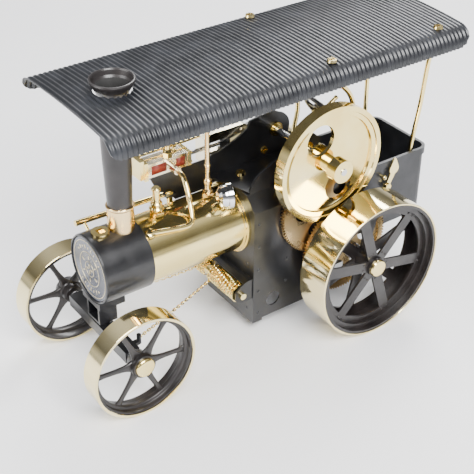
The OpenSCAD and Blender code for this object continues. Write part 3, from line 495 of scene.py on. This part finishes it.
def link(centre, along, up, length=3.9, width=2.5):
    """One oval chain link, its long way along the chain and its flat side across up."""
    along = along.normalized()
    side = along.cross(up).normalized()
    half_w = width / 2 - LINK_WIRE
    half_l = length / 2 - width / 2
    path = []
    for k in range(16):
        a = 2 * math.pi * k / 16
        shift = half_l if math.cos(a) > 0 else -half_l
        path.append(centre + along * (half_w * math.cos(a) + shift) + side * (half_w * math.sin(a)))
    points, faces = [], []
    sides = 6
    for i, p in enumerate(path):
        tangent = (path[(i + 1) % 16] - path[i - 1]).normalized()
        out = side.cross(along).normalized()
        other = tangent.cross(out).normalized()
        for k in range(sides):
            a = 2 * math.pi * k / sides
            points.append(tuple(p + out * (LINK_WIRE * math.cos(a)) + other * (LINK_WIRE * math.sin(a))))
    for i in range(16):
        j = (i + 1) % 16
        for k in range(sides):
            m = (k + 1) % sides
            faces.append((i * sides + k, i * sides + m, j * sides + m, j * sides + k))
    return points, faces


def chain_along(path):
    """Links along a path of points, each turned a quarter about the chain from the last."""
    shapes = []
    travelled, target, turn = 0.0, LINK_PITCH / 2, 0
    for a, b in zip(path, path[1:]):
        step = (b - a).length
        along = (b - a).normalized()
        base = Vector((0, 0, 1)) if abs(along.z) < 0.8 else Vector((0, 1, 0))
        up = (base - along * base.dot(along)).normalized()
        while target <= travelled + step:
            p = a + along * (target - travelled)
            quarter = math.radians(45 + 90 * (turn % 2))
            spun = up * math.cos(quarter) + along.cross(up) * math.sin(quarter)
            shapes.append(link(p, along, spun))
            target += LINK_PITCH
            turn += 1
        travelled += step
    return shapes


def coil_path(y0, y1, start, direction, radius=6.0, pitch=3.1):
    """Helix round the drum from y0 to y1."""
    turns = abs(y1 - y0) / pitch
    count = int(turns * 36)
    out = []
    for i in range(count + 1):
        a = math.radians(start) + direction * 2 * math.pi * turns * i / count
        out.append(Vector((DRUM[0] + radius * math.cos(a), y0 + (y1 - y0) * i / count,
                           DRUM[1] + radius * math.sin(a))))
    return out


def sag(a, b, drop, steps=24):
    return [a.lerp(b, i / steps) - Vector((0, 0, drop * 4 * (i / steps) * (1 - i / steps))) for i in range(steps + 1)]


def make_chains():
    runs = {
        "left": (Vector((90.8, -8, 34.05)), Vector((179.6, 33, 45.4)), 0.9, (-8, 24.5, -90, -1)),
        "right": (Vector((90, -14.1, 46)), Vector((179.6, -33, 45.4)), 6.0, (-14.1, -23.4, 90, 1)),
    }
    for side, (drum_end, lug_end, drop, (y0, y1, start, direction)) in runs.items():
        straight = piece("chain_run_" + side, *gather(chain_along(sag(drum_end, lug_end, drop))), BRASS, None,
                         "brass_bright")
        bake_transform(straight)
        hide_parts("chain_" + side)
        piece("chain_coil_" + side, *gather(chain_along(coil_path(y0, y1, start, direction))), BRASS,
              "steering_drum", "brass_bright")


# ---- wheels ----
def spoke(centre, angle, face):
    """One cast spoke of a front wheel: rounded, and flared into the hub and the ring."""
    radii = [4 + 31.5 * i / 21 for i in range(22)]
    sides = 16
    points, faces = [], []
    for r in radii:
        wide = 1.75 + 2.4 * math.exp(-(r - 8.5) / 4.2) + 1.6 * math.exp((r - 34.5) / 2.2)
        wide = min(wide, 4.6)
        thick = 1.15 + 0.45 * math.exp(-(r - 8.5) / 8.0)
        for k in range(sides):
            a = 2 * math.pi * k / sides
            across = wide * math.copysign(abs(math.cos(a)) ** 0.7, math.cos(a))
            depth = thick * math.copysign(abs(math.sin(a)) ** 0.7, math.sin(a))
            points.append((centre.x + r * math.cos(angle) - across * math.sin(angle), face + depth,
                           centre.z + r * math.sin(angle) + across * math.cos(angle)))
    for i in range(len(radii) - 1):
        for k in range(sides):
            m = (k + 1) % sides
            faces.append((i * sides + k, i * sides + m, (i + 1) * sides + m, (i + 1) * sides + k))
    faces.append(tuple(range(sides)))
    faces.append(tuple((len(radii) - 1) * sides + k for k in range(sides)))
    return points, faces


def make_front_wheels():
    """Cast centres of the front wheels: a channel ring, a hub and six flared spokes, with a brass cap."""
    for side, s in (("left", 1), ("right", -1)):
        body = "front_wheel_" + side
        centre = Vector((WHEELBASE, 0, FRONT_R))
        face = FRONT_FACE
        ring = [(36.1, face - 15.6), (37.75, face - 15.6), (37.75, face - 1), (36.7, face - 1), (36.1, face - 1.5),
                (36.1, face - 4.8), (35.7, face - 5.2), (34.2, face - 5.4), (33.8, face - 5.9), (33.8, face - 8.9),
                (34.2, face - 9.4), (35.7, face - 9.6), (36.1, face - 10)]
        hub = [(2.5, face - 15), (6.4, face - 15), (6.9, face - 14.5), (7.2, face - 9.6), (8.5, face - 8.6),
               (8.9, face - 7.6), (8.9, face - 2.8), (8.4, face - 2.2), (2.5, face - 2.2)]
        shapes = [turned(p, (WHEELBASE, 0, FRONT_R), (0, s, 0)) for p in (ring, hub)]
        shapes += [spoke(centre, math.radians(FRONT_SPOKE_TILT + 60 * i), s * (face - 7.4)) for i in range(SPOKES)]
        piece("front_centre_" + side, *gather(shapes), BLACK_WHEEL, body, "black_wheel",
              ("front_spokes_" + side,), 45)
        cap = [(0, face - 2.4), (7.3, face - 2.4), (7.3, face - 1.2), (7.1, face - 0.7), (6.4, face - 0.1),
               (5.2, face + 0.35), (3, face + 0.55), (0, face + 0.6)]
        lathe("front_cap_" + side, cap, centre, (0, s, 0), BRASS, body, "brass")


def make_wheel_rivets():
    """Pairs of rivets where each spoke of the rear wheels meets its ring."""
    spots = []
    for s in (-1, 1):
        y = s * (REAR_FACE - 7.8)
        for i in range(SPOKES):
            a = math.radians(REAR_SPOKE_TILT + 60 * i)
            for off in (-2.6, 2.6):
                for r in (46.0, 11.6):
                    across = off if r > 20 else off * 0.8
                    x = r * math.cos(a) - across * math.sin(a)
                    z = REAR_R + r * math.sin(a) + across * math.cos(a)
                    spots.append(dome((x, y, z), (0, s, 0), 0.95, 0.55, 4, 14))
    piece("rear_wheel_rivets", *gather(spots), BLACK_WHEEL, "rear_wheels", "black_wheel")


def make_steering_wheel():
    """Thick black ring on three flat spokes, with a brass handle standing on it."""
    along = Vector((-math.cos(COLUMN_TILT), 0, math.sin(COLUMN_TILT)))
    across = Vector((math.sin(COLUMN_TILT), 0, math.cos(COLUMN_TILT)))
    side = Vector((0, 1, 0))
    foot = Vector((DRUM[0] + COLUMN_OFF * across.x, COLUMN_Y, DRUM[1] + COLUMN_OFF * across.z))
    centre = foot + along * COLUMN_WHEEL
    ring = [(STEERING_R + 2.0 * math.cos(math.radians(15 * i)), 1.7 * math.sin(math.radians(15 * i)))
            for i in range(24)]
    hub = [(3.42, -1.3), (4.7, -1.3), (5, -1), (5, 1), (4.7, 1.3), (3.42, 1.3)]
    shapes = [turned(p, centre, along) for p in (ring, hub)]
    for i in range(3):
        angle = math.radians(30 + 120 * i)
        out = across * math.cos(angle) + side * math.sin(angle)
        over = along.cross(out)
        points = []
        for r, half, thick in ((4.6, 1.7, 0.85), (6.4, 1.2, 0.75), (10, 1.2, 0.75), (12.2, 1.7, 0.85)):
            points += [tuple(centre + out * r + over * (half * a) + along * (thick * b))
                       for a, b in ((-1, -1), (1, -1), (1, 1), (-1, 1))]
        faces = [(0, 1, 2, 3), (12, 13, 14, 15)]
        faces += [(4 * j + k, 4 * j + (k + 1) % 4, 4 * j + 4 + (k + 1) % 4, 4 * j + 4 + k)
                  for j in range(3) for k in range(4)]
        shapes.append((points, faces))
    piece("steering_ring", *gather(shapes), BLACK_WHEEL, "steering_column", "black_wheel", ("steering_wheel",))
    spot = centre + (across * math.cos(math.radians(60)) + side * math.sin(math.radians(60))) * STEERING_R
    lathe("steering_handle", [(0, 1.2), (1.2, 1.2), (1.2, 2.6), (1.7, 3.6), (1.75, 7), (1.5, 11), (1.75, 13),
                              (1.5, 14.1), (0.8, 14.4), (0, 14.4)], spot, along, BRASS, "steering_column", "brass")


def make_chimney_dark_liner():
    """Matt black liner inside the top of the chimney: partly soot on its wall, partly painted shade, with a dark disc
    across the bore standing in for the shade further down.
    """
    liner = [(9.45, 204), (9.58, 216.5), (10.78, 219.6), (11.6, 220.9), (11.5, 221), (10.6, 219.7), (9.4, 216.6),
             (9.3, 204.1), (0, 204.1), (0, 204)]
    # Painted shade: the disc at the liner's foot fills the bore with near-black where the chimney is only in shade;
    # the wall lining is partly soot, partly painted shade.
    lathe("chimney_matt_black_liner", liner, (STACK_X, 0, 0), (0, 0, 1), MATT_BLACK, "chassis", "black_paint")


# ---- boiler details ----
def make_rivets():
    """Rows of rivet heads on the sides and the front of the firebox."""
    spots = []
    for s in (-1, 1):
        for z in (18, 38, 57.5, 77.5, 97):
            spots.append(dome((75.4, s * 30, z), (0, s, 0), 1.25, 0.8))
        for z in (38, 57.5, 77.5, 97):
            spots.append(dome((50, s * 30, z), (0, s, 0), 1.25, 0.8))
    for y in (-22, 22):
        for z in (20, 60):
            spots.append(dome((80, y, z), (1, 0, 0), 1.25, 0.8))
    piece("firebox_rivet_heads", *gather(spots), BLACK, "chassis", "black_paint", ("firebox_rivets",))


def make_gauge():
    """Dial of the pressure gauge: a white face with plain tick marks."""
    out = Vector((math.cos(GAUGE_YAW), math.sin(GAUGE_YAW), 0))
    across = Vector((-math.sin(GAUGE_YAW), math.cos(GAUGE_YAW), 0))
    up = Vector((0, 0, 1))
    centre = Vector(GAUGE)
    lathe("gauge_dial", [(0.9, 0.02), (8.2, 0.02), (8.2, 0.3), (0.9, 0.3)], centre, out, WHITE, "chassis", "nickel")
    ticks = []
    for i in range(25):
        a = math.radians(-120 + 10 * i)
        inner, half = (6.2, 0.17) if i % 4 == 0 else (7.0, 0.1)
        radial = up * math.cos(a) + across * math.sin(a)
        side = up * -math.sin(a) + across * math.cos(a)
        base = [centre + radial * r + side * (half * q) for r, q in ((inner, -1), (7.8, -1), (7.8, 1), (inner, 1))]
        points = [tuple(p + out * h) for h in (0.3, 0.36) for p in base]
        faces = [(0, 1, 2, 3), (4, 5, 6, 7), (0, 1, 5, 4), (1, 2, 6, 5), (2, 3, 7, 6), (3, 0, 4, 7)]
        ticks.append((points, faces))
    piece("gauge_ticks", *gather(ticks), MATT_BLACK, "chassis", "nickel")


def make_cylinder_panels():
    """Red-painted recesses on the near side of the cylinder block."""
    for name, x0, x1 in (("rear", 107.6, 114.6), ("front", 122.8, 134.8)):
        y0, y1, z0, z1 = -16.88, -16.5, 135.6, 142.2
        points = [(x, y, z) for x in (x0, x1) for y in (y0, y1) for z in (z0, z1)]
        faces = [(0, 1, 3, 2), (4, 6, 7, 5), (0, 4, 5, 1), (2, 3, 7, 6), (0, 2, 6, 4), (1, 5, 7, 3)]
        piece("cylinder_panel_" + name, points, faces, RED, "chassis", "brass_bright")


# ---- materials of the CAD nodes that stay ----
NODE_MATERIALS = {
    BRASS: ["boiler_band", "smokebox_plug", "handrail", "tow_bar", "brass_screws", "shaft_bearings",
            "cylinder_covers", "oil_cup", "steam_rail", "gauge_pipe", "valve_rod", "crank_pinion", "flywheel",
            "flywheel_boss", "rear_caps", "steering_drum", "steering_column", "tender_lever", "boiler_ends",
            "safety_valve", "safety_stem"],
    BRASS_DRAWN: ["boiler"],
    BRASS_TREAD: ["rear_rims", "front_rim_left", "front_rim_right"],
    BRASS_WARM: ["whistle", "chimney_collar"],
    BRASS_PALE: ["cylinder_block", "slide_bars"],
    BRASS_GEAR: ["gear_wheel", "drive_wheel"],
    NICKEL: ["gauge_case"],
    STEEL: ["burner_tray", "piston", "crankshaft", "gear_stud", "rear_axle", "front_axle"],
    STEEL_DARK: ["connecting_rod"],
    BLACK: ["smokebox", "firebox", "hornplates", "engine_bed", "perch", "axle_beam", "steering_bracket",
            "gauge_needle"],
    BLACK_BODY: ["tender"],
    BLACK_WHEEL: ["rear_spokes"],
    BLACK_CHIMNEY: ["chimney"],
}


def dress_nodes():
    for mat, names in NODE_MATERIALS.items():
        for name in names:
            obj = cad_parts[name]
            obj.data.materials.clear()
            obj.data.materials.append(mat)


# ---- stage, light and camera ----
def area_light(name, place, target, size, power, colour=(1, 1, 1)):
    data = bpy.data.lights.new(name, "AREA")
    data.shape = "RECTANGLE"
    data.size, data.size_y = size
    data.energy = power
    data.color = colour
    lamp = bpy.data.objects.new(name, data)
    bpy.context.scene.collection.objects.link(lamp)
    lamp.location = place
    lamp.rotation_euler = (Vector(target) - Vector(place)).to_track_quat("-Z", "Y").to_euler()


def make_stage():
    mesh = bpy.data.meshes.new("floor")
    half = 4.0
    mesh.from_pydata([(-half, -half, 0), (half, -half, 0), (half, half, 0), (-half, half, 0)], [], [(0, 1, 2, 3)])
    floor = bpy.data.objects.new("floor", mesh)
    bpy.context.scene.collection.objects.link(floor)
    mesh.materials.append(new_material("pale_floor", (0.93, 0.93, 0.94), 0.0, 0.6)[0])
    world = bpy.data.worlds.new("studio")
    bpy.context.scene.world = world
    world.use_nodes = True
    nodes, links = world.node_tree.nodes, world.node_tree.links
    background = nodes["Background"]
    coords = nodes.new("ShaderNodeTexCoord")
    split = nodes.new("ShaderNodeSeparateXYZ")
    ramp = nodes.new("ShaderNodeValToRGB")
    stops = ramp.color_ramp.elements
    stops[0].position, stops[0].color = 0.0, (0.55, 0.57, 0.60, 1)
    stops[1].position, stops[1].color = 1.0, (0.95, 0.97, 1.0, 1)
    for place, grey in ((0.10, 0.70), (0.28, 0.14), (0.55, 0.30), (0.8, 0.95)):
        stop = stops.new(place)
        stop.color = (grey, grey, grey * 1.03, 1)
    links.new(coords.outputs["Generated"], split.inputs["Vector"])
    links.new(split.outputs["Z"], ramp.inputs["Fac"])
    links.new(ramp.outputs["Color"], background.inputs["Color"])
    background.inputs["Strength"].default_value = 1.1
    centre = mm(70, 0, 90)
    area_light("key", (0.3, 1.1, 1.3), centre, (1.0, 0.8), 58)
    area_light("fill", (1.4, -0.2, 0.8), centre, (0.9, 0.9), 20)
    area_light("rim", (-1.0, -0.8, 1.2), centre, (0.9, 0.6), 30)


def make_camera():
    """At the measured viewpoint: place, direction, roll and focal length."""
    place = (468.81, 548.77, 525.06)
    yaw, pitch, roll = -2.195, -0.593, 0.007
    ahead = Vector((math.cos(pitch) * math.cos(yaw), math.cos(pitch) * math.sin(yaw), math.sin(pitch)))
    right = ahead.cross(Vector((0, 0, 1))).normalized()
    up = right.cross(ahead)
    right, up = (math.cos(roll) * right + math.sin(roll) * up, -math.sin(roll) * right + math.cos(roll) * up)
    data = bpy.data.cameras.new("camera")
    data.lens = 83.22
    data.sensor_width = 36
    data.clip_start = 0.01
    camera = bpy.data.objects.new("camera", data)
    bpy.context.scene.collection.objects.link(camera)
    facing = Matrix((right, up, -ahead)).transposed().to_4x4()
    camera.matrix_world = Matrix.Translation(mm(*place)) @ facing
    bpy.context.scene.camera = camera


make_camera()
dress_nodes()
make_canopy()
make_posts()
make_exhaust()
make_medallion()
make_chains()
make_rivets()
make_front_wheels()
make_wheel_rivets()
make_steering_wheel()
make_chimney_dark_liner()
make_gauge()
make_cylinder_panels()
make_stage()
